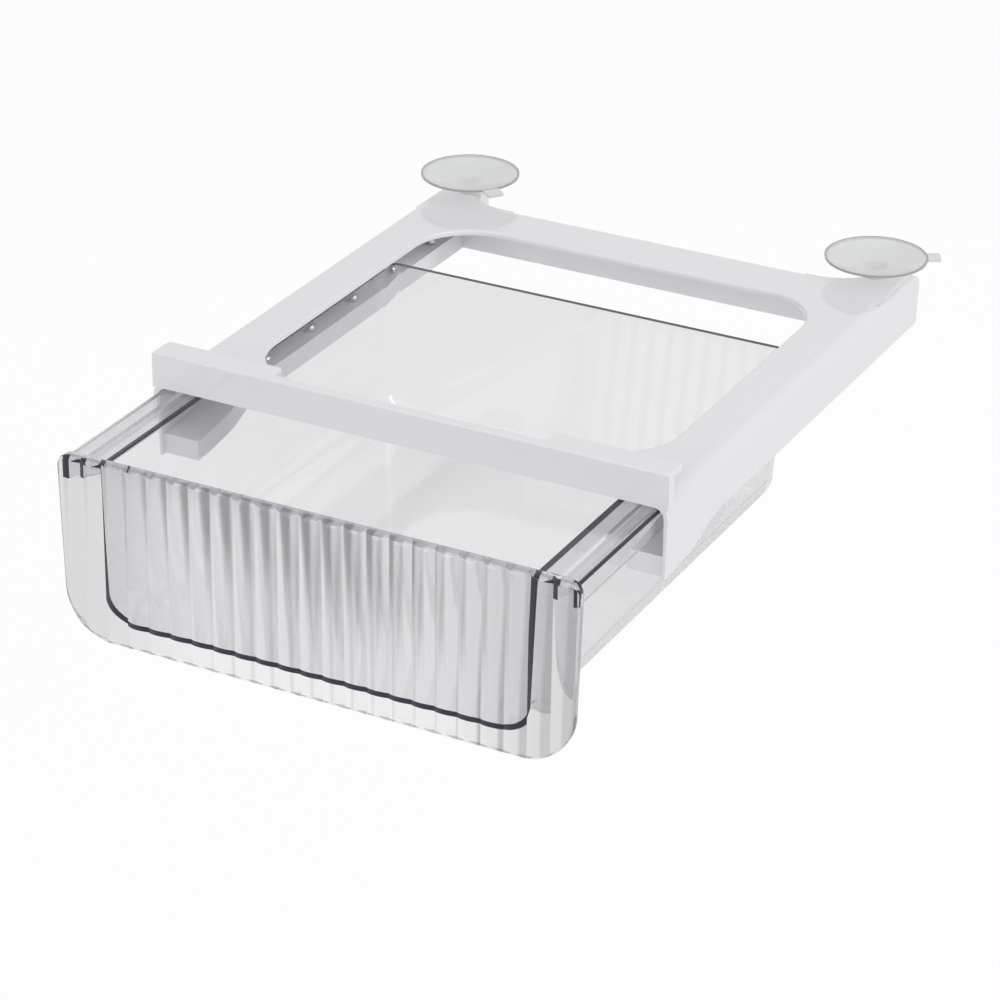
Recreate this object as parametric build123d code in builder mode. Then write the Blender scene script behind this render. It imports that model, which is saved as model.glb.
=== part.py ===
"""Fridge drawer organizer: a carrier that hooks on a shelf's front edge, and a clear drawer.

The carrier hangs under a fridge shelf. Two tabs at the front hook over the shelf's edge and two
suction cups hold its rear corners. The clear drawer's side flanges roll on rows of steel balls.

Millimetres, +Z up, +X to the right and +Y to the back, seen from the front. The origin is on the
carrier's flat top, on the centre line, in the strip behind the front fascia.
"""
from build123d import *
from math import cos, radians, sin, tan
import os

os.makedirs("parts", exist_ok=True)

# ---- carrier frame -------------------------------------------------------------------------
HALF_W = 116.0             # half the width at the flat top
FASCIA_Y = -25.0           # front face of the fascia, ahead of the origin
REAR_Y = FASCIA_Y + 237.0  # rear edge between the two ears
PLATE_T = 2.3              # thickness of the flat top
SKIRT_T = 1.8              # thickness of the skirts
DRAFT = 1.4                # lean of the skirts' outer faces, degrees
EDGE_R = 6.0               # rolled edge between plate and skirts
INNER_R = 4.5              # hollow side of the rolled edge, and the mouth's upper corners
SKIRT_Z = -23.5            # lower edge of the skirts
LEG_Z = -33.3              # tips of the front legs
FASCIA_TOP = 12.9
FASCIA_T = 5.0
FASCIA_R = 0.8             # softened edges of the fascia and the tabs

TAB_W = 54.5               # hook tabs over the shelf's edge
TAB_DEPTH = 13.0           # from the fascia's front face
TAB_T = 2.5
TAB_R = 2.5                # rear corners
TAB_FLARE_R = 3.0          # hollow corner where a tab's inner end meets the fascia

WINDOW_HALF_W = 93.0
WINDOW_FRONT = FASCIA_Y + 28.5
WINDOW_REAR = FASCIA_Y + 208.0
WINDOW_FRONT_R = 31.0
WINDOW_REAR_R = 28.0
WINDOW_EDGE_R = 1.1        # rolled rim of the window

EAR_R = 9.4                # rounded tip of each rear ear
SWEEP_R = 19.5             # hollow sweep from the rear edge into an ear
EAR_NOSE_R = 15.0          # top of an ear, seen from the side
EAR_HEEL_R = 9.0           # lower rear corner, seen from the side
PARTITION_T = 1.8          # straight rear wall between the drawer space and the ears

# ---- suction cups --------------------------------------------------------------------------
CUP_X = 100.0
CUP_Y = FASCIA_Y + 244.8
CUP_RIM_R = 22.5
CUP_RIM_Z = 9.8
CUP_LIP_T = 0.9
CUP_DISH_Z = 5.6           # lowest point of the dish
CUP_NECK_R = 5.2           # neck above the carrier
CUP_SEAT_Z = -1.2          # recess that the neck's foot sits in
CUP_GROOVE_R = 3.2         # neck inside the hole
CUP_BUTTON_R = 4.5         # button under the plate
CUP_BUTTON_T = 2.4
CUP_FIT = 0.08             # running clearance of the neck in its hole
PAD_R = 21.7               # low cone moulded round each cup's hole
PAD_TOP_R = 6.2
PAD_RISE = 0.7
TONGUE_W = 7.6             # pull tongue of a cup
TONGUE_T = 1.1
TONGUE_END_R = 1.6
TONGUE_REACH = {"left": 7.2, "right": 5.6}
TONGUE_TURN = {"left": -38.0, "right": 28.0}

# ---- ball rails ----------------------------------------------------------------------------
RAIL_INNER_X = 98.1
RAIL_BOTTOM = -23.3
RAIL_SETBACK = 3.0         # rail's front face behind the fascia's front face
RAIL_LIFT = 8.9            # top of the rail above the sweep of the leg
BALL_R = 2.75              # balls stand a little over half out of their sockets
BALL_FIT = 0.06
BALL_X = 103.6
BALL_Z = -13.65
BALL_COUNT = 6
BALL_FIRST_Y = FASCIA_Y + 29.1
BALL_PITCH = 36.9

# ---- drawer, pulled out as in the photograph -----------------------------------------------
PANEL_VALLEY = FASCIA_Y - 72.3  # valleys between the flutes
PANEL_T = 4.2
PANEL_TOP = -1.1
PANEL_BOTTOM = -81.0
PANEL_HALF_W = 114.8       # at the top
PANEL_DRAFT = 1.7
PANEL_CORNER_R = 22.0      # lower corners
PANEL_TOP_R = 5.5          # upper corners
PANEL_RIM_R = 2.4          # rounded rim of the panel's front
PANEL_BACK_R = 0.8         # softened rim of its back
FLUTE_PITCH = 9.87
FLUTE_COUNT = 23
FLUTE_RISE = 1.25

BIN_TOP = -3.0
BIN_BOTTOM = -72.5
BIN_HALF_W = 96.6
BIN_REAR = FASCIA_Y + 162.4
BIN_WALL = 2.3
BIN_SIDE_DRAFT = 1.7
BIN_REAR_DRAFT = 5.0
BIN_EDGE_R = 14.5          # rounded edges along the floor
BIN_CORNER_R = 6.5         # upright rear corners

FLANGE_HALF_W = 112.4
FLANGE_T = 1.8
FLANGE_CORNER_R = 1.4
LIP_BOTTOM = -12.4
LIP_T = 2.2
RUNNER_X = 103.9           # rib that rolls on the balls
RUNNER_T = 2.6
RUNNER_GAP = 0.15

SIDES = {"left": -1, "right": 1}
EAR_X = HALF_W - EAR_R
EAR_Y = REAR_Y + SWEEP_R
PANEL_BACK = PANEL_VALLEY + PANEL_T
FAR = 400.0


def plan_outline(inset):
    """Draw the right half of the carrier's plan, moved inwards by the inset."""
    tip_r = EAR_R - inset
    sweep_r = SWEEP_R + inset
    sweep_x = EAR_X - EAR_R - SWEEP_R
    slope = sin(radians(45))
    Line((0, FASCIA_Y + inset), (HALF_W - inset, FASCIA_Y + inset))
    Line((HALF_W - inset, FASCIA_Y + inset), (HALF_W - inset, EAR_Y))
    ThreePointArc((EAR_X + tip_r, EAR_Y), (EAR_X, EAR_Y + tip_r), (EAR_X - tip_r, EAR_Y))
    ThreePointArc((sweep_x + sweep_r, EAR_Y), (sweep_x + sweep_r * slope, EAR_Y - sweep_r * slope),
                  (sweep_x, EAR_Y - sweep_r))
    Line((sweep_x, EAR_Y - sweep_r), (0, EAR_Y - sweep_r))
    Line((0, EAR_Y - sweep_r), (0, FASCIA_Y + inset))


def leg_sweep(lift):
    """Draw the S-shaped lower front edge, raised by the lift, from the skirt to the leg's tip."""
    front = FASCIA_Y
    Spline((front + 54, SKIRT_Z + lift), (front + 42, SKIRT_Z + lift - 1.7),
           (front + 32, SKIRT_Z + lift - 5.6), (front + 21, SKIRT_Z + lift - 7.7),
           (front - 1, LEG_Z + lift), tangents=((-1, 0), (-1, -0.06)))


# ---- carrier frame: outer shape, hollows and details ---------------------------------------
with BuildPart() as carrier_shell:
    with BuildSketch(Plane.XY) as carrier_plan:
        with BuildLine() as carrier_edge:
            plan_outline(0)
        make_face()
        mirror(about=Plane.YZ)
    extrude(amount=LEG_Z - 1, taper=DRAFT)
    rolled = carrier_shell.faces().sort_by(Axis.Z)[-1].edges()
    fillet([edge for edge in rolled if edge.center().Y > FASCIA_Y + 1], radius=EDGE_R)
    # seen from the side: rounded ears and heels, and the front legs
    tip = EAR_Y + EAR_R
    with BuildSketch(Plane.YZ) as carrier_side:
        with BuildLine() as carrier_side_edge:
            Line((FASCIA_Y - 1, 0), (tip - EAR_NOSE_R, 0))
            RadiusArc((tip - EAR_NOSE_R, 0), (tip, -EAR_NOSE_R), EAR_NOSE_R)
            Line((tip, -EAR_NOSE_R), (tip - 0.35, SKIRT_Z + EAR_HEEL_R))
            RadiusArc((tip - 0.35, SKIRT_Z + EAR_HEEL_R), (tip - 0.35 - EAR_HEEL_R, SKIRT_Z), EAR_HEEL_R)
            Line((tip - 0.35 - EAR_HEEL_R, SKIRT_Z), (FASCIA_Y + 54, SKIRT_Z))
            leg_sweep(0)
            Line((FASCIA_Y - 1, LEG_Z), (FASCIA_Y - 1, 0))
        make_face()
    extrude(amount=HALF_W + 5, both=True, mode=Mode.INTERSECT)

with BuildPart() as drawer_space:
    # hollow under the plate, open at the front and below
    with BuildSketch(Plane.XY.offset(-PLATE_T)):
        with Locations((0, (FASCIA_Y - 10 + REAR_Y - PARTITION_T) / 2)):
            Rectangle(2 * (HALF_W - SKIRT_T), REAR_Y - PARTITION_T - FASCIA_Y + 10)
    extrude(amount=-60)
    hollow_top = drawer_space.faces().sort_by(Axis.Z)[-1].edges()
    fillet([edge for edge in hollow_top if edge.center().Y > FASCIA_Y], radius=INNER_R)

with BuildPart() as ear_space:
    # hollows inside the two ears, behind the straight rear wall
    with BuildSketch(Plane.XY.offset(-PLATE_T)):
        with BuildLine():
            plan_outline(SKIRT_T)
        make_face()
        with Locations((0, REAR_Y - FAR / 2)):
            Rectangle(2 * FAR, FAR, mode=Mode.SUBTRACT)
        mirror(about=Plane.YZ)
    extrude(amount=-60)
    with BuildSketch(Plane.YZ):
        nose = EAR_NOSE_R - SKIRT_T
        with BuildLine():
            Line((REAR_Y - 5, -PLATE_T), (tip - EAR_NOSE_R, -PLATE_T))
            ThreePointArc((tip - EAR_NOSE_R, -PLATE_T),
                          (tip - EAR_NOSE_R + nose * sin(radians(45)),
                           -EAR_NOSE_R + (nose - 0.2) * cos(radians(45))),
                          (tip - SKIRT_T, -EAR_NOSE_R))
            Line((tip - SKIRT_T, -EAR_NOSE_R), (tip - SKIRT_T, -70))
            Line((tip - SKIRT_T, -70), (REAR_Y - 5, -70))
            Line((REAR_Y - 5, -70), (REAR_Y - 5, -PLATE_T))
        make_face()
    extrude(amount=HALF_W + 5, both=True, mode=Mode.INTERSECT)

with BuildPart() as cup_pads:
    # very low cones round the cups' holes, cut off by the ears' rolled edges
    for side in SIDES.values():
        with BuildSketch(Plane.XY.offset(-0.4)):
            with Locations((side * CUP_X, CUP_Y)):
                Circle(PAD_R + 8.9)
        with BuildSketch(Plane.XY.offset(PAD_RISE)):
            with Locations((side * CUP_X, CUP_Y)):
                Circle(PAD_TOP_R)
        loft()
    add(carrier_shell.part.moved(Location((0, 0, PAD_RISE))), mode=Mode.INTERSECT)

with BuildPart() as carrier_frame:
    add(carrier_shell.part)
    add(cup_pads.part)
    # fascia across the front, level with the skirts' faces
    with BuildSketch(Plane.XZ.offset(-FASCIA_Y)) as fascia_face:
        with Locations((0, (FASCIA_TOP - PLATE_T) / 2)):
            Rectangle(2 * HALF_W, FASCIA_TOP + PLATE_T)
        upper = fascia_face.vertices().group_by(Axis.Y)[-1]
        fillet(upper, radius=1.2)
    extrude(amount=-FASCIA_T)
    # hook tabs over the shelf's edge
    for side in SIDES.values():
        with BuildSketch(Plane.XY.offset(FASCIA_TOP)) as tab_plan:
            with Locations((side * (HALF_W - TAB_W / 2), FASCIA_Y + TAB_DEPTH / 2)):
                Rectangle(TAB_W, TAB_DEPTH)
            fillet(tab_plan.vertices().group_by(Axis.Y)[-1], radius=TAB_R)
        extrude(amount=-TAB_T)
    flares = [edge for edge in carrier_frame.edges().filter_by(Axis.Z)
              if abs(abs(edge.center().X) - HALF_W + TAB_W) < 0.01
              and abs(edge.center().Y - FASCIA_Y - FASCIA_T) < 0.01]
    fillet(flares, radius=TAB_FLARE_R)
    top_edges = carrier_frame.faces().filter_by(Axis.Z).sort_by(Axis.Z)[-1].edges()
    fillet(top_edges, radius=FASCIA_R)
    add(drawer_space.part, mode=Mode.SUBTRACT)
    add(ear_space.part, mode=Mode.SUBTRACT)
    # window in the flat top, with a rolled rim
    with BuildSketch(Plane.XY.offset(-PLATE_T)) as window:
        with Locations((0, (WINDOW_FRONT + WINDOW_REAR) / 2)):
            Rectangle(2 * WINDOW_HALF_W, WINDOW_REAR - WINDOW_FRONT)
        fillet(window.vertices().group_by(Axis.Y)[0], radius=WINDOW_FRONT_R)
        fillet(window.vertices().group_by(Axis.Y)[-1], radius=WINDOW_REAR_R)
    extrude(amount=PLATE_T, mode=Mode.SUBTRACT)
    rim = [edge for edge in carrier_frame.edges()
           if abs(edge.center().Z) < 0.01 and abs(edge.center().X) < WINDOW_HALF_W + 0.01
           and WINDOW_FRONT - 0.01 < edge.center().Y < WINDOW_REAR + 0.01]
    fillet(rim, radius=WINDOW_EDGE_R)
    # stepped holes for the cups' necks
    for side in SIDES.values():
        with BuildSketch(Plane.XY.offset(CUP_SEAT_Z)):
            with Locations((side * CUP_X, CUP_Y)):
                Circle(CUP_NECK_R + CUP_FIT)
        extrude(amount=6, mode=Mode.SUBTRACT)
        with BuildSketch(Plane.XY.offset(1)):
            with Locations((side * CUP_X, CUP_Y)):
                Circle(CUP_GROOVE_R + CUP_FIT)
        extrude(amount=-6, mode=Mode.SUBTRACT)
        # round relief for the button inside the ear
        with BuildSketch(Plane.XY.offset(-PLATE_T)):
            with Locations((side * CUP_X, CUP_Y)):
                Circle(CUP_BUTTON_R + 0.3)
        extrude(amount=-CUP_BUTTON_T - 0.6, mode=Mode.SUBTRACT)
carrier_frame.part.label = "carrier_frame"
export_step(carrier_frame.part, "parts/carrier_frame.step")

# ---- ball rails under the flat top's side strips -------------------------------------------
for name, side in SIDES.items():
    with BuildPart() as rail:
        with BuildSketch(Plane.YZ.offset(side * RAIL_INNER_X)):
            with BuildLine():
                leg_sweep(RAIL_BOTTOM - SKIRT_Z)
                Line((FASCIA_Y - 1, LEG_Z + RAIL_BOTTOM - SKIRT_Z), (FASCIA_Y - 1, LEG_Z + RAIL_LIFT))
                leg_sweep(RAIL_LIFT)
                Line((FASCIA_Y + 54, SKIRT_Z + RAIL_LIFT), (REAR_Y - PARTITION_T, SKIRT_Z + RAIL_LIFT))
                Line((REAR_Y - PARTITION_T, SKIRT_Z + RAIL_LIFT), (REAR_Y - PARTITION_T, RAIL_BOTTOM))
                Line((REAR_Y - PARTITION_T, RAIL_BOTTOM), (FASCIA_Y + 54, RAIL_BOTTOM))
            make_face()
            with Locations((FASCIA_Y + RAIL_SETBACK - 50, -20)):
                Rectangle(100, 100, mode=Mode.SUBTRACT)
        extrude(amount=side * (HALF_W - SKIRT_T - RAIL_INNER_X))
        with Locations([(side * BALL_X, BALL_FIRST_Y + BALL_PITCH * n, BALL_Z) for n in range(BALL_COUNT)]):
            Sphere(BALL_R + BALL_FIT, mode=Mode.SUBTRACT)
    rail.part.label = f"{name}_ball_rail"
    export_step(rail.part, f"parts/{name}_ball_rail.step")
    for n in range(BALL_COUNT):
        with BuildPart() as ball:
            with Locations((side * BALL_X, BALL_FIRST_Y + BALL_PITCH * n, BALL_Z)):
                Sphere(BALL_R)
        ball.part.label = f"{name}_ball_{n + 1}"
        export_step(ball.part, f"parts/{name}_ball_{n + 1}.step")


# ---- drawer --------------------------------------------------------------------------------
def bin_sides(inset):
    """Draw the bin seen from the front: leaning side walls and a floor with rounded edges."""
    lean = tan(radians(BIN_SIDE_DRAFT))
    top = BIN_TOP + (1 if inset else 0)
    floor = BIN_BOTTOM + inset
    top_x = BIN_HALF_W - inset - (BIN_TOP - top) * lean
    floor_x = BIN_HALF_W - inset - (BIN_TOP - floor) * lean
    Polyline((-top_x, top), (-floor_x, floor), (floor_x, floor), (top_x, top), close=True)


def bin_length(inset):
    """Draw the bin seen from the side: leaning rear wall, open towards the front panel."""
    lean = tan(radians(BIN_REAR_DRAFT))
    top = BIN_TOP + 5
    floor = BIN_BOTTOM - 5
    front = PANEL_BACK if inset else PANEL_BACK - 1
    Polyline((front, top), (BIN_REAR - inset + (top - BIN_TOP) * lean, top),
             (BIN_REAR - inset - (BIN_TOP - floor) * lean, floor), (front, floor), close=True)


def bin_body(inset):
    """Make the bin's solid outer shape, or its hollow when the inset is the wall thickness."""
    with BuildPart() as body:
        with BuildSketch(Plane.XZ.offset(-PANEL_BACK + 5)) as section:
            with BuildLine():
                bin_sides(inset)
            make_face()
            fillet(section.vertices().group_by(Axis.Y)[0], radius=BIN_EDGE_R - inset)
        extrude(amount=-(BIN_REAR - PANEL_BACK + 20))
        with BuildSketch(Plane.YZ) as length:
            with BuildLine():
                bin_length(inset)
            make_face()
        extrude(amount=HALF_W, both=True, mode=Mode.INTERSECT)
        rear_face = body.faces().sort_by(Axis.Y)[-1]
        rear_edges = rear_face.edges().filter_by(lambda edge: edge.center().Z < BIN_TOP - 0.5)
        fillet(rear_edges, radius=BIN_CORNER_R - inset)
    return body.part


bin_outside = bin_body(0)
bin_hollow = bin_body(BIN_WALL)

with BuildPart() as panel_outline:
    # front panel seen from the front
    with BuildSketch(Plane.XZ.offset(-PANEL_BACK)) as panel_face:
        foot_x = PANEL_HALF_W - (PANEL_TOP - PANEL_BOTTOM) * tan(radians(PANEL_DRAFT))
        with BuildLine():
            Polyline((-PANEL_HALF_W, PANEL_TOP), (-foot_x, PANEL_BOTTOM), (foot_x, PANEL_BOTTOM),
                     (PANEL_HALF_W, PANEL_TOP), close=True)
        make_face()
        fillet(panel_face.vertices().group_by(Axis.Y)[0], radius=PANEL_CORNER_R)
        fillet(panel_face.vertices().group_by(Axis.Y)[-1], radius=PANEL_TOP_R)
    extrude(amount=PANEL_T + FLUTE_RISE)
    fillet(panel_outline.faces().sort_by(Axis.Y)[0].edges(), radius=PANEL_RIM_R)
    fillet(panel_outline.faces().sort_by(Axis.Y)[-1].edges(), radius=PANEL_BACK_R)

with BuildPart() as front_panel:
    # upright flutes, rounded outwards, on the panel's front
    flute_half = FLUTE_PITCH * FLUTE_COUNT / 2
    with BuildSketch(Plane.XY.offset(PANEL_BOTTOM)):
        with BuildLine():
            for n in range(FLUTE_COUNT):
                start_x = -flute_half + n * FLUTE_PITCH
                ThreePointArc((start_x, PANEL_VALLEY), (start_x + FLUTE_PITCH / 2, PANEL_VALLEY - FLUTE_RISE),
                              (start_x + FLUTE_PITCH, PANEL_VALLEY))
            Polyline((flute_half, PANEL_VALLEY), (PANEL_HALF_W, PANEL_VALLEY), (PANEL_HALF_W, PANEL_BACK),
                     (-PANEL_HALF_W, PANEL_BACK), (-PANEL_HALF_W, PANEL_VALLEY), (-flute_half, PANEL_VALLEY))
        make_face()
    extrude(amount=PANEL_TOP - PANEL_BOTTOM)
    add(panel_outline.part, mode=Mode.INTERSECT)

with BuildPart() as drawer:
    add(front_panel.part)
    add(bin_outside)
    # side flanges with a runner rib and a turned-down outer lip
    runner_bottom = BALL_Z + BALL_R + RUNNER_GAP
    for side in SIDES.values():
        with BuildSketch(Plane.XZ.offset(-PANEL_BACK)) as flange:
            with BuildLine():
                Polyline((side * (BIN_HALF_W - 1), BIN_TOP), (side * FLANGE_HALF_W, BIN_TOP),
                         (side * FLANGE_HALF_W, LIP_BOTTOM), (side * (FLANGE_HALF_W - LIP_T), LIP_BOTTOM),
                         (side * (FLANGE_HALF_W - LIP_T), BIN_TOP - FLANGE_T),
                         (side * (RUNNER_X + RUNNER_T / 2), BIN_TOP - FLANGE_T),
                         (side * (RUNNER_X + RUNNER_T / 2), runner_bottom),
                         (side * (RUNNER_X - RUNNER_T / 2), runner_bottom),
                         (side * (RUNNER_X - RUNNER_T / 2), BIN_TOP - FLANGE_T),
                         (side * (BIN_HALF_W - 1), BIN_TOP - FLANGE_T), close=True)
            make_face()
            outer = [v for v in flange.vertices() if abs(abs(v.X) - FLANGE_HALF_W) < 0.01 and v.Y > BIN_TOP - 0.01]
            inner = [v for v in flange.vertices() if abs(abs(v.X) - FLANGE_HALF_W + LIP_T) < 0.01
                     and v.Y > BIN_TOP - FLANGE_T - 0.01]
            fillet(outer, radius=FLANGE_CORNER_R)
            fillet(inner, radius=FLANGE_CORNER_R / 2)
        extrude(amount=-(BIN_REAR - 6 - PANEL_BACK))
    add(bin_hollow, mode=Mode.SUBTRACT)
drawer.part.label = "drawer"
export_step(drawer.part, "parts/drawer.step")

# ---- suction cups --------------------------------------------------------------------------
for name, side in SIDES.items():
    with BuildPart() as cup:
        with BuildSketch(Plane.XZ) as cup_half:
            with BuildLine():
                Line((0, CUP_DISH_Z), (0, -PLATE_T - 0.1 - CUP_BUTTON_T))
                Line((0, -PLATE_T - 0.1 - CUP_BUTTON_T), (CUP_BUTTON_R - 0.8, -PLATE_T - 0.1 - CUP_BUTTON_T))
                Line((CUP_BUTTON_R - 0.8, -PLATE_T - 0.1 - CUP_BUTTON_T), (CUP_BUTTON_R, -PLATE_T - CUP_BUTTON_T + 0.7))
                Line((CUP_BUTTON_R, -PLATE_T - CUP_BUTTON_T + 0.7), (CUP_BUTTON_R, -PLATE_T - 0.1))
                Line((CUP_BUTTON_R, -PLATE_T - 0.1), (CUP_GROOVE_R, -PLATE_T - 0.1))
                Line((CUP_GROOVE_R, -PLATE_T - 0.1), (CUP_GROOVE_R, CUP_SEAT_Z + 0.05))
                Line((CUP_GROOVE_R, CUP_SEAT_Z + 0.05), (CUP_NECK_R, CUP_SEAT_Z + 0.05))
                Line((CUP_NECK_R, CUP_SEAT_Z + 0.05), (CUP_NECK_R, 3.0))
                Spline((CUP_NECK_R, 3.0), (8.0, 4.5), (15.0, 6.5), (CUP_RIM_R, CUP_RIM_Z - CUP_LIP_T),
                       tangents=((0.15, 1), (1, 0.36)))
                Line((CUP_RIM_R, CUP_RIM_Z - CUP_LIP_T), (CUP_RIM_R, CUP_RIM_Z))
                Line((CUP_RIM_R, CUP_RIM_Z), (CUP_RIM_R - 0.7, CUP_RIM_Z))
                Spline((CUP_RIM_R - 0.7, CUP_RIM_Z), (15.0, 7.6), (7.0, 6.0), (0, CUP_DISH_Z),
                       tangents=((-1, -0.36), (-1, 0)))
            make_face()
        revolve(axis=Axis.Z)
        turn = TONGUE_TURN[name]
        reach = TONGUE_REACH[name]
        with BuildSketch(Plane.XY.offset(CUP_RIM_Z - 0.1)) as tongue:
            with Locations((CUP_RIM_R - 3 + (reach + 3) / 2, 0)):
                Rectangle(reach + 3, TONGUE_W)
            fillet(tongue.vertices().group_by(Axis.X)[-1], radius=TONGUE_END_R)
        extrude(amount=-TONGUE_T)
        with BuildSketch(Plane.XY.offset(CUP_RIM_Z + 1)):
            Circle(CUP_RIM_R - 1.2)
        extrude(amount=-1.6, mode=Mode.SUBTRACT)
    placed = cup.part.moved(Location((side * CUP_X, CUP_Y, 0), (0, 0, turn)))
    placed.label = f"{name}_suction_cup"
    export_step(placed, f"parts/{name}_suction_cup.step")
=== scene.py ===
"""Fridge drawer organizer: finishes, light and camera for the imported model.

A white carrier hangs under a fridge shelf and a clear drawer with a fluted front rolls in it on
steel balls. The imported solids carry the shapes; this script gives each one its finish, and sets up
the studio that they are seen in. Metres, in the model's own frame.
"""

import logging
import math
from dataclasses import dataclass, field
from enum import Enum

import bpy
from mathutils import Matrix, Vector


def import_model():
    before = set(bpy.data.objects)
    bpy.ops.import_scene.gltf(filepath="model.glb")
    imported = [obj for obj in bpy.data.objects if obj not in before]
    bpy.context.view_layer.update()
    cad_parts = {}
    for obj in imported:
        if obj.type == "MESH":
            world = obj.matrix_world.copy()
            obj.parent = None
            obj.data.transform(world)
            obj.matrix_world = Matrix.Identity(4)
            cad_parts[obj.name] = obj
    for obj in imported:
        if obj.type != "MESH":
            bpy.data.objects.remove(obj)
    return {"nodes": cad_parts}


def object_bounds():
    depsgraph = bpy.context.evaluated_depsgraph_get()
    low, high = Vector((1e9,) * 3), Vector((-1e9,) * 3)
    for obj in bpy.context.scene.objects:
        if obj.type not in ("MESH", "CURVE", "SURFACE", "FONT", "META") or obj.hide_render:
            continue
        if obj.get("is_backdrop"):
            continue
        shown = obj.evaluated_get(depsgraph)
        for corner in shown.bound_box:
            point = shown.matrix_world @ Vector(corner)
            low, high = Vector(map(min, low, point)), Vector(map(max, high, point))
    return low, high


log = logging.getLogger("organizer")

Triple = tuple[float, float, float]
Colour = Triple
Socket = bpy.types.NodeSocket
WHITE: Colour = (1.0, 1.0, 1.0)
MM = 0.001
NOISE_LOW = 0.3  # nearly all of a noise lies between these two
NOISE_HIGH = 0.7


class Side(Enum):
    """The two sides of the organizer, seen from the front."""

    LEFT = "left"
    RIGHT = "right"


@dataclass(frozen=True)
class Pattern:
    """A noise over an object's surface, and the bump that it raises.

    The scale is in noise cells per metre, the detail in octaves and the depth in metres. The
    stretch multiplies the scale along each axis, and the share is how much of the bump shows.
    """

    scale: float
    detail: float = 3.0
    stretch: Triple = (1.0, 1.0, 1.0)
    share: float = 0.0
    depth: float = 0.0


class Nodes:
    """Adds and joins the shader nodes of one material, or of the world."""

    def __init__(self, owner: bpy.types.Material | bpy.types.World) -> None:
        """Start from an empty node tree.

        Args:
            owner: The material or world to build in.
        """
        owner.use_nodes = True
        self.tree = owner.node_tree
        self.tree.nodes.clear()

    def add(self, kind: str, **values: object) -> bpy.types.Node:
        """Add a node and set its properties and inputs.

        Args:
            kind: The node's type name.
            **values: Properties of the node, or inputs written with underscores for spaces.

        Returns:
            The new node.
        """
        node = self.tree.nodes.new(kind)
        for name, value in values.items():
            if name in node.bl_rna.properties:
                setattr(node, name, value)
            else:
                node.inputs[name.replace("_", " ")].default_value = value
        return node

    def join(self, output: Socket, target: Socket) -> None:
        """Link an output to an input."""
        self.tree.links.new(output, target)

    def place(self) -> bpy.types.Node:
        """Split the object's own coordinates into X, Y and Z.

        Returns:
            The node with the three outputs.
        """
        place = self.add("ShaderNodeTexCoord")
        split = self.add("ShaderNodeSeparateXYZ")
        self.join(place.outputs["Object"], split.inputs["Vector"])
        return split

    def noise(self, pattern: Pattern) -> Socket:
        """Make a noise over the object's own coordinates.

        Args:
            pattern: The noise's scale, detail and stretch.

        Returns:
            The noise's factor output.
        """
        place = self.add("ShaderNodeTexCoord")
        mapping = self.add("ShaderNodeMapping", Scale=pattern.stretch)
        noise = self.add("ShaderNodeTexNoise", Scale=pattern.scale, Detail=pattern.detail)
        self.join(place.outputs["Object"], mapping.inputs["Vector"])
        self.join(mapping.outputs["Vector"], noise.inputs["Vector"])
        return noise.outputs["Fac"]

    def spread(self, source: Socket, low: float, high: float) -> Socket:
        """Map a noise to a range of values.

        Args:
            source: The noise.
            low: The value where the noise is low.
            high: The value where it is high.

        Returns:
            The mapped value.
        """
        spread = self.add("ShaderNodeMapRange", From_Min=NOISE_LOW, From_Max=NOISE_HIGH,
                          To_Min=low, To_Max=high)
        self.join(source, spread.inputs["Value"])
        return spread.outputs["Result"]

    def blend(self, factor: Socket, first: Colour | Socket, second: Colour | Socket) -> Socket:
        """Blend two colours by a factor.

        Args:
            factor: How much of the second colour shows.
            first: The colour at 0, or the output that gives it.
            second: The colour at 1, or the output that gives it.

        Returns:
            The blended colour.
        """
        mix = self.add("ShaderNodeMix", data_type="RGBA")
        sockets = [socket for socket in mix.inputs if socket.type == "RGBA"]
        for socket, colour in zip(sockets, (first, second)):
            if isinstance(colour, tuple):
                socket.default_value = (*colour, 1.0)
            else:
                self.join(colour, socket)
        self.join(factor, mix.inputs["Factor"])
        return next(socket for socket in mix.outputs if socket.type == "RGBA")

    def reckon(self, operation: str, first: float | Socket, second: float | Socket = 0.0) -> Socket:
        """Do one step of arithmetic.

        Args:
            operation: The kind of step, as Blender names it.
            first: The first number, or the output that gives it.
            second: The second number, or the output that gives it.

        Returns:
            The result.
        """
        step = self.add("ShaderNodeMath", operation=operation)
        for socket, value in zip(step.inputs, (first, second)):
            if isinstance(value, (int, float)):
                socket.default_value = value
            else:
                self.join(value, socket)
        return step.outputs[0]

    def ramp(self, value: Socket, start: float, end: float, lowest: float = 0.0) -> Socket:
        """Rise smoothly from the lowest factor to 1 as a value goes from start to end.

        Args:
            value: The value.
            start: Where the rise starts.
            end: Where it ends.
            lowest: The factor before the start.

        Returns:
            The factor.
        """
        ramp = self.add("ShaderNodeMapRange", interpolation_type="SMOOTHSTEP",
                        From_Min=start, From_Max=end, To_Min=lowest)
        self.join(value, ramp.inputs["Value"])
        return ramp.outputs["Result"]

    def mix(self, factor: Socket, first: Socket, second: Socket) -> Socket:
        """Mix two shaders.

        Args:
            factor: How much of the second shader shows.
            first: The shader at 0.
            second: The shader at 1.

        Returns:
            The mixed shader.
        """
        mix = self.add("ShaderNodeMixShader")
        for socket, source in zip(mix.inputs, (factor, first, second)):
            self.join(source, socket)
        return mix.outputs["Shader"]

    def sight(self) -> Socket:
        """Tell the rays that show a thing from those that only carry its light.

        Returns:
            1 for camera, glossy and transmitted rays, 0 for the others.
        """
        path = self.add("ShaderNodeLightPath")
        either = self.reckon("MAXIMUM", path.outputs["Is Camera Ray"], path.outputs["Is Glossy Ray"])
        return self.reckon("MAXIMUM", either, path.outputs["Is Transmission Ray"])

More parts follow.
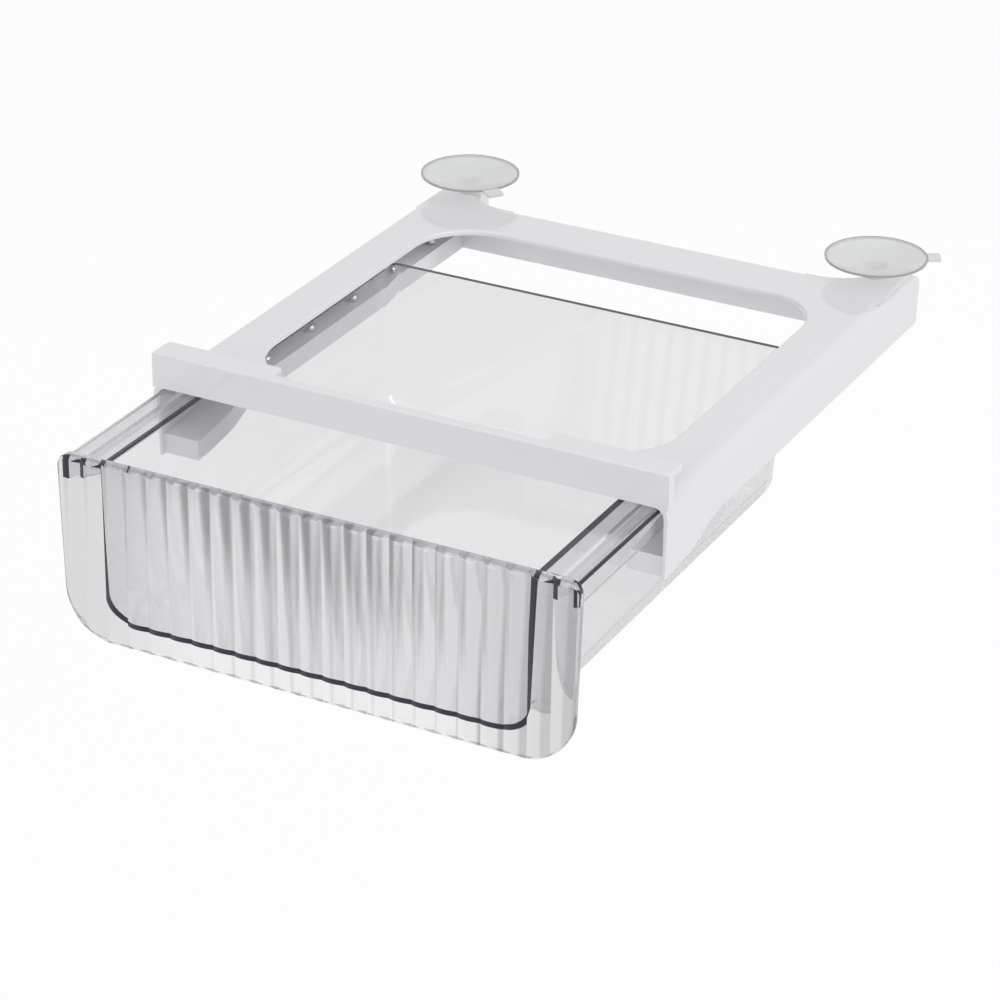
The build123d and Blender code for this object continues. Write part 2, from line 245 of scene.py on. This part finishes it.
    def let_light_through(self, seen: Socket, share: float) -> Socket:
        """Let lamp light and scattered light straight through a clear surface.

        Args:
            seen: The shader that the surface shows.
            share: How much of the light passes.

        Returns:
            The mixed shader.
        """
        path = self.add("ShaderNodeLightPath")
        either = self.reckon("MAXIMUM", path.outputs["Is Shadow Ray"], path.outputs["Is Diffuse Ray"])
        clear = self.add("ShaderNodeBsdfTransparent")
        return self.mix(self.reckon("MULTIPLY", either, share), seen, clear.outputs["BSDF"])

    def absorb(self, colour: Colour, density: float) -> Socket:
        """Make plastic that takes up light along its depth.

        Args:
            colour: The colour that deep plastic turns to.
            density: How fast it turns, per metre.

        Returns:
            The volume shader.
        """
        depth = self.add("ShaderNodeVolumeAbsorption", Density=density)
        depth.inputs["Color"].default_value = (*colour, 1.0)
        return depth.outputs["Volume"]

    def bump(self, height: Socket, pattern: Pattern) -> Socket:
        """Turn a noise into a bumped normal.

        Args:
            height: The noise.
            pattern: The pattern that gives the bump's share and depth.

        Returns:
            The normal.
        """
        bump = self.add("ShaderNodeBump", Strength=pattern.share, Distance=pattern.depth)
        self.join(height, bump.inputs["Height"])
        return bump.outputs["Normal"]


@dataclass(frozen=True)
class MouldedWhite:
    """White moulded plastic: smooth and glossy, a little uneven in tone, with a very fine grain."""

    name: str = "moulded_white"
    colour: Colour = (0.79, 0.785, 0.81)
    shade: Colour = (0.765, 0.76, 0.79)
    roughness: tuple[float, float] = (0.05, 0.12)
    ior: float = 1.49
    tone: Pattern = Pattern(scale=14.0, detail=2.0)
    grain: Pattern = Pattern(scale=900.0, detail=4.0, share=0.02, depth=0.03 * MM)

    def build(self) -> bpy.types.Material:
        """Make the material.

        Returns:
            The finished material.
        """
        material = bpy.data.materials.new(self.name)
        nodes = Nodes(material)
        output = nodes.add("ShaderNodeOutputMaterial")
        shader = nodes.add("ShaderNodeBsdfPrincipled", IOR=self.ior)
        broad = nodes.noise(self.tone)
        fine = nodes.noise(self.grain)
        nodes.join(nodes.blend(broad, self.colour, self.shade), shader.inputs["Base Color"])
        nodes.join(nodes.spread(broad, *self.roughness), shader.inputs["Roughness"])
        nodes.join(nodes.bump(fine, self.grain), shader.inputs["Normal"])
        nodes.join(shader.outputs["BSDF"], output.inputs["Surface"])
        return material


@dataclass(frozen=True)
class ClearPlastic:
    """Clear moulded plastic, see-through across a wall and dark along its length.

    The fluted panel's front carries painted light and shade: light and dark patches in its colour,
    over an even painted grey, stand in for what refraction through the flutes shows. The fields that
    start with streak shape the patches, and those that end with half_width say where they are strong
    and where they fade. Light that has bounced more than caught_after times inside the plastic takes
    a painted colour: painted shade in the bin, painted light in the panel.
    """

    name: str = "clear_plastic"
    colour: Colour = (0.83, 0.828, 0.836)
    roughness: float = 0.015
    ior: float = 1.53
    deep: Colour = (0.30, 0.25, 0.42)
    density: float = 10.0
    unshadowed: float = 0.96
    wave: Pattern = Pattern(scale=60.0, detail=2.0, share=0.06, depth=0.2 * MM)
    panel_back: float = -93.0 * MM
    flute_front: float = -95.5 * MM
    flute_pitch: float = 9.87 * MM
    flute_shift: float = 0.5  # in pitches: one flute stands across X = 0
    # painted light and shade on the fluted front, in place of refraction through the flutes
    painted_even_shade: Colour = (0.52, 0.518, 0.525)
    painted_highlight_streak: Colour = (0.97, 0.97, 0.97)
    painted_shade_streak: Colour = (0.18, 0.18, 0.184)
    streak_drift: float = 11.0
    streak_bend: float = 1.1
    streak_slant: float = 5.0
    streak_level: float = 0.49
    streak_softness: float = 0.06
    streak_detail: float = 1.5
    streak_least: float = 0.3
    strong_half_width: float = 45.0 * MM
    faded_half_width: float = 105.0 * MM
    # painted shade and painted light, shown by rays caught inside the plastic
    painted_shade_in_bin: Colour = (0.012, 0.007, 0.04)
    painted_light_in_panel: Colour = (0.95, 0.95, 0.95)
    caught_after: float = 2.5

    def build(self) -> bpy.types.Material:
        """Make the material.

        Returns:
            The finished material.
        """
        material = bpy.data.materials.new(self.name)
        nodes = Nodes(material)
        output = nodes.add("ShaderNodeOutputMaterial")
        shader = nodes.add("ShaderNodeBsdfPrincipled", IOR=self.ior, Roughness=self.roughness)
        shader.inputs["Transmission Weight"].default_value = 1.0
        where = nodes.place()
        panel = nodes.reckon("LESS_THAN", where.outputs["Y"], self.panel_back)
        front = nodes.reckon("LESS_THAN", where.outputs["Y"], self.flute_front)
        # the front's colour is painted light and shade; the rest keeps the plastic's own colour
        tint_and_painted_shading = nodes.blend(front, self.colour, self.painted_streaks(nodes, where))
        nodes.join(tint_and_painted_shading, shader.inputs["Base Color"])
        nodes.join(nodes.bump(nodes.noise(self.wave), self.wave), shader.inputs["Normal"])
        # rays caught inside the plastic show painted shade in the bin and painted light in the panel
        seen = self.paint_caught_light(nodes, shader.outputs["BSDF"], panel)
        nodes.join(nodes.let_light_through(seen, self.unshadowed), output.inputs["Surface"])
        nodes.join(nodes.absorb(self.deep, self.density), output.inputs["Volume"])
        return material

    def painted_streaks(self, nodes: Nodes, where: bpy.types.Node) -> Socket:
        """Paint light and shade onto the flutes in dark and light patches, drawn together within each
        flute, in place of the flutes' refraction.

        Args:
            nodes: The material's nodes.
            where: The place on the drawer, split into X, Y and Z.

        Returns:
            The painted colour.
        """
        pitches = nodes.reckon("DIVIDE", where.outputs["X"], self.flute_pitch)
        flutes = nodes.reckon("ADD", pitches, self.flute_shift)
        across = nodes.reckon("MULTIPLY", nodes.reckon("FRACT", flutes), self.streak_bend)
        along = nodes.reckon("MULTIPLY", where.outputs["X"], self.streak_drift)
        bent = nodes.add("ShaderNodeCombineXYZ")
        nodes.join(nodes.reckon("ADD", along, across), bent.inputs["X"])
        nodes.join(nodes.reckon("MULTIPLY", where.outputs["Z"], self.streak_slant), bent.inputs["Z"])
        patches = nodes.add("ShaderNodeTexNoise", Scale=1.0, Detail=self.streak_detail)
        nodes.join(bent.outputs["Vector"], patches.inputs["Vector"])
        edge = nodes.ramp(patches.outputs["Fac"], self.streak_level - self.streak_softness,
                          self.streak_level + self.streak_softness)
        # painted highlight against painted shade
        streak = nodes.blend(edge, self.painted_shade_streak, self.painted_highlight_streak)
        from_middle = nodes.reckon("ABSOLUTE", where.outputs["X"])
        show = nodes.ramp(from_middle, self.faded_half_width, self.strong_half_width, self.streak_least)
        # away from the middle the flutes fade to an even painted shade
        return nodes.blend(show, self.painted_even_shade, streak)

    def paint_caught_light(self, nodes: Nodes, clear: Socket, panel: Socket) -> Socket:
        """Paint the light caught inside the plastic: painted shade on the bin's edges, painted light in
        the panel.

        Args:
            nodes: The material's nodes.
            clear: The shader of the clear surface.
            panel: 1 on the fluted panel, 0 on the bin.

        Returns:
            The mixed shader.
        """
        path = nodes.add("ShaderNodeLightPath")
        caught = nodes.add("ShaderNodeBsdfDiffuse")
        nodes.join(nodes.blend(panel, self.painted_shade_in_bin, self.painted_light_in_panel), caught.inputs["Color"])
        often = nodes.reckon("GREATER_THAN", path.outputs["Glossy Depth"], self.caught_after)
        return nodes.mix(often, clear, caught.outputs["BSDF"])


@dataclass(frozen=True)
class SoftClear:
    """Soft plastic of the suction cups, milky, with painted shade in a darker ring along each rim."""

    name: str = "soft_clear"
    colour: Colour = (0.74, 0.755, 0.745)
    # painted shade on the rims
    painted_rim_shade: Colour = (0.4, 0.41, 0.405)
    roughness: tuple[float, float] = (0.12, 0.2)
    ior: float = 1.5
    clearness: float = 0.32
    deep: Colour = (0.42, 0.43, 0.44)
    density: float = 40.0
    unshadowed: float = 0.92
    cloud: Pattern = Pattern(scale=180.0, share=0.05, depth=0.1 * MM)
    cup_x: float = 100.0 * MM
    cup_y: float = 219.8 * MM
    rim_middle: float = 22.1 * MM
    rim_half: float = 0.5 * MM

    def build(self) -> bpy.types.Material:
        """Make the material.

        Returns:
            The finished material.
        """
        material = bpy.data.materials.new(self.name)
        nodes = Nodes(material)
        output = nodes.add("ShaderNodeOutputMaterial")
        shader = nodes.add("ShaderNodeBsdfPrincipled", IOR=self.ior)
        shader.inputs["Transmission Weight"].default_value = self.clearness
        # the cup's own colour, with painted shade in a ring on each rim
        tint_and_painted_shading = nodes.blend(self.rim(nodes), self.colour, self.painted_rim_shade)
        nodes.join(tint_and_painted_shading, shader.inputs["Base Color"])
        cloud = nodes.noise(self.cloud)
        nodes.join(nodes.spread(cloud, *self.roughness), shader.inputs["Roughness"])
        nodes.join(nodes.bump(cloud, self.cloud), shader.inputs["Normal"])
        seen = nodes.let_light_through(shader.outputs["BSDF"], self.unshadowed)
        nodes.join(seen, output.inputs["Surface"])
        nodes.join(nodes.absorb(self.deep, self.density), output.inputs["Volume"])
        return material

    def rim(self, nodes: Nodes) -> Socket:
        """Find a cup's rim, where painted shade stands in for the plastic looking darker edge-on.

        Args:
            nodes: The material's nodes.

        Returns:
            1 on the rim, 0 elsewhere.
        """
        where = nodes.place()
        beside = nodes.reckon("SUBTRACT", nodes.reckon("ABSOLUTE", where.outputs["X"]), self.cup_x)
        behind = nodes.reckon("SUBTRACT", where.outputs["Y"], self.cup_y)
        squares = nodes.reckon("ADD", nodes.reckon("MULTIPLY", beside, beside),
                               nodes.reckon("MULTIPLY", behind, behind))
        radius = nodes.reckon("SQRT", squares)
        off_rim = nodes.reckon("ABSOLUTE", nodes.reckon("SUBTRACT", radius, self.rim_middle))
        return nodes.reckon("LESS_THAN", off_rim, self.rim_half)


@dataclass(frozen=True)
class PolishedSteel:
    """Polished bearing-ball steel with a few fine rolling marks."""

    name: str = "polished_steel"
    colour: Colour = (0.62, 0.61, 0.62)
    roughness: tuple[float, float] = (0.08, 0.16)
    marks: Pattern = Pattern(scale=700.0, stretch=(1.0, 12.0, 12.0), share=0.05, depth=0.03 * MM)

    def build(self) -> bpy.types.Material:
        """Make the material.

        Returns:
            The finished material.
        """
        material = bpy.data.materials.new(self.name)
        nodes = Nodes(material)
        output = nodes.add("ShaderNodeOutputMaterial")
        shader = nodes.add("ShaderNodeBsdfPrincipled", Metallic=1.0)
        shader.inputs["Base Color"].default_value = (*self.colour, 1.0)
        marks = nodes.noise(self.marks)
        nodes.join(nodes.spread(marks, *self.roughness), shader.inputs["Roughness"])
        nodes.join(nodes.bump(marks, self.marks), shader.inputs["Normal"])
        nodes.join(shader.outputs["BSDF"], output.inputs["Surface"])
        return material


def dress(piece: bpy.types.Object, material: bpy.types.Material) -> None:
    """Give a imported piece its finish.

    Args:
        piece: The piece.
        material: Its finish.
    """
    if not piece.material_slots:
        piece.data.materials.append(material)
    for slot in piece.material_slots:
        slot.material = material
    log.info("%s in %s", piece.name, material.name)


@dataclass
class Carrier:
    """The white carrier: its frame, and the two rails that hold the balls."""

    pieces: dict[str, bpy.types.Object]
    frame_finish: MouldedWhite = field(default_factory=MouldedWhite)
    # the rails' white is painted a touch lighter than the frame's to make up for the shade under the
    # plate; their rougher finish is their own
    rail_finish: MouldedWhite = field(default_factory=lambda: MouldedWhite(
        name="rail_white_painted_light", colour=(0.8, 0.795, 0.815), shade=(0.78, 0.775, 0.8), roughness=(0.26, 0.36)))

    def dress(self) -> None:
        """Give the frame and both rails their finishes."""
        dress(self.pieces["carrier_frame"], self.frame_finish.build())
        rail = self.rail_finish.build()
        for side in Side:
            dress(self.pieces[f"{side.value}_ball_rail"], rail)


@dataclass
class BallRows:
    """The steel balls that the drawer rolls on."""

    pieces: dict[str, bpy.types.Object]
    per_side: int = 6
    finish: PolishedSteel = field(default_factory=PolishedSteel)

    def dress(self) -> None:
        """Give every ball its finish."""
        steel = self.finish.build()
        for side in Side:
            for number in range(1, self.per_side + 1):
                dress(self.pieces[f"{side.value}_ball_{number}"], steel)


@dataclass
class Drawer:
    """The clear drawer, one moulding with a fluted front."""

    pieces: dict[str, bpy.types.Object]
    finish: ClearPlastic = field(default_factory=ClearPlastic)

    def dress(self) -> None:
        """Give the drawer its finish."""
        dress(self.pieces["drawer"], self.finish.build())


@dataclass
class SuctionCups:
    """The two suction cups on the rear ears."""

    pieces: dict[str, bpy.types.Object]
    finish: SoftClear = field(default_factory=SoftClear)

    def dress(self) -> None:
        """Give both cups their finish."""
        soft = self.finish.build()
        for side in Side:
            dress(self.pieces[f"{side.value}_suction_cup"], soft)


@dataclass(frozen=True)
class Lamp:
    """A soft rectangular studio lamp; its place and size are in metres, its power in watts."""

    name: str
    place: Triple
    size: tuple[float, float]
    power: float

    def build(self, target: Vector) -> None:
        """Put the lamp up, facing the target.

        Args:
            target: The point that it faces.
        """
        light = bpy.data.lights.new(self.name, "AREA")
        light.shape = "RECTANGLE"
        light.size, light.size_y = self.size
        light.energy = self.power
        lamp = bpy.data.objects.new(self.name, light)
        lamp.location = self.place
        lamp.rotation_euler = (target - Vector(self.place)).to_track_quat("-Z", "Y").to_euler()
        bpy.context.scene.collection.objects.link(lamp)


@dataclass
class Studio:
    """A pale floor, a pale sky and soft lamps."""

    floor_z: float = -0.30
    floor_half: float = 6.0
    floor_colour: Colour = (0.9, 0.9, 0.9)
    floor_glow: float = 0.93  # the rest keeps the object's shadow
    sky: float = 0.59
    lamps: tuple[Lamp, ...] = (
        Lamp("key", place=(1.9, -0.2, 1.4), size=(1.6, 1.6), power=20.0),
        Lamp("front", place=(-0.5, -2.2, 0.9), size=(1.4, 1.4), power=11.0),
        Lamp("top", place=(-0.3, 0.4, 2.2), size=(2.0, 2.0), power=5.0),
    )

    def build(self, centre: Vector) -> None:
        """Build the floor, the world and the lamps.

        Args:
            centre: The middle of the object.
        """
        self.build_floor()
        self.build_sky()
        for lamp in self.lamps:
            lamp.build(centre)

    def build_floor(self) -> None:
        """Make the pale floor."""
        half = self.floor_half
        corners = [(-half, -half, self.floor_z), (half, -half, self.floor_z),
                   (half, half, self.floor_z), (-half, half, self.floor_z)]
        mesh = bpy.data.meshes.new("floor")
        mesh.from_pydata(corners, [], [(0, 1, 2, 3)])
        floor = bpy.data.objects.new("floor", mesh)
        bpy.context.scene.collection.objects.link(floor)
        material = bpy.data.materials.new("pale_floor")
        nodes = Nodes(material)
        output = nodes.add("ShaderNodeOutputMaterial")
        matt = nodes.add("ShaderNodeBsdfDiffuse")
        matt.inputs["Color"].default_value = (*self.floor_colour, 1.0)
        glow = nodes.add("ShaderNodeEmission", Strength=1.0)
        share = nodes.reckon("MULTIPLY", nodes.sight(), self.floor_glow)
        seen = nodes.mix(share, matt.outputs["BSDF"], glow.outputs["Emission"])
        nodes.join(seen, output.inputs["Surface"])
        mesh.materials.append(material)
        floor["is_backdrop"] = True

    def build_sky(self) -> None:
        """Make the pale surroundings: white to the eye, a plain level as light."""
        world = bpy.data.worlds.new("studio")
        bpy.context.scene.world = world
        nodes = Nodes(world)
        output = nodes.add("ShaderNodeOutputWorld")
        lit = nodes.add("ShaderNodeBackground", Strength=self.sky)
        seen = nodes.add("ShaderNodeBackground", Strength=1.0)
        for background in (lit, seen):
            background.inputs["Color"].default_value = (*WHITE, 1.0)
        mixed = nodes.mix(nodes.sight(), lit.outputs["Background"], seen.outputs["Background"])
        nodes.join(mixed, output.inputs["Surface"])


@dataclass(frozen=True)
class PhotoCamera:
    """The camera at the photograph's place: to the right of the front, looking down."""

    azimuth: float = 27.26
    elevation: float = 26.67
    roll: float = 0.81
    lens: float = 131.87
    sensor: float = 36.0
    nearest: float = 0.05
    farthest: float = 40.0
    place: Triple = (0.63004, -1.16271, 0.62763)

    def build(self) -> None:
        """Make the camera and hand it to the scene."""
        turn = math.radians(self.azimuth)
        tilt = math.radians(self.elevation)
        roll = math.radians(self.roll)
        level_out = math.cos(tilt)
        back = Vector((math.sin(turn) * level_out, -math.cos(turn) * level_out, math.sin(tilt)))
        level = (-back).cross(Vector((0.0, 0.0, 1.0))).normalized()
        upright = level.cross(-back)
        right = level * math.cos(roll) + upright * math.sin(roll)
        up = upright * math.cos(roll) - level * math.sin(roll)
        data = bpy.data.cameras.new("photo_camera")
        data.lens = self.lens
        data.sensor_width = self.sensor
        data.clip_start = self.nearest
        data.clip_end = self.farthest
        camera = bpy.data.objects.new("photo_camera", data)
        facing = Matrix((right, up, back)).transposed().to_4x4()
        camera.matrix_world = Matrix.Translation(self.place) @ facing
        bpy.context.scene.collection.objects.link(camera)
        bpy.context.scene.camera = camera


def main() -> None:
    """Build the organizer's finishes and its studio, piece by piece."""
    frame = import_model()
    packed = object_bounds()
    pieces = frame["nodes"]
    for part in (Carrier(pieces), BallRows(pieces), Drawer(pieces), SuctionCups(pieces)):
        part.dress()
        log.info("%s done", type(part).__name__)
    Studio().build((packed[0] + packed[1]) / 2)
    PhotoCamera().build()
    bpy.context.scene.view_settings.view_transform = "Standard"


if __name__ == "__main__":
    logging.basicConfig(level=logging.INFO, format="%(message)s")
    main()
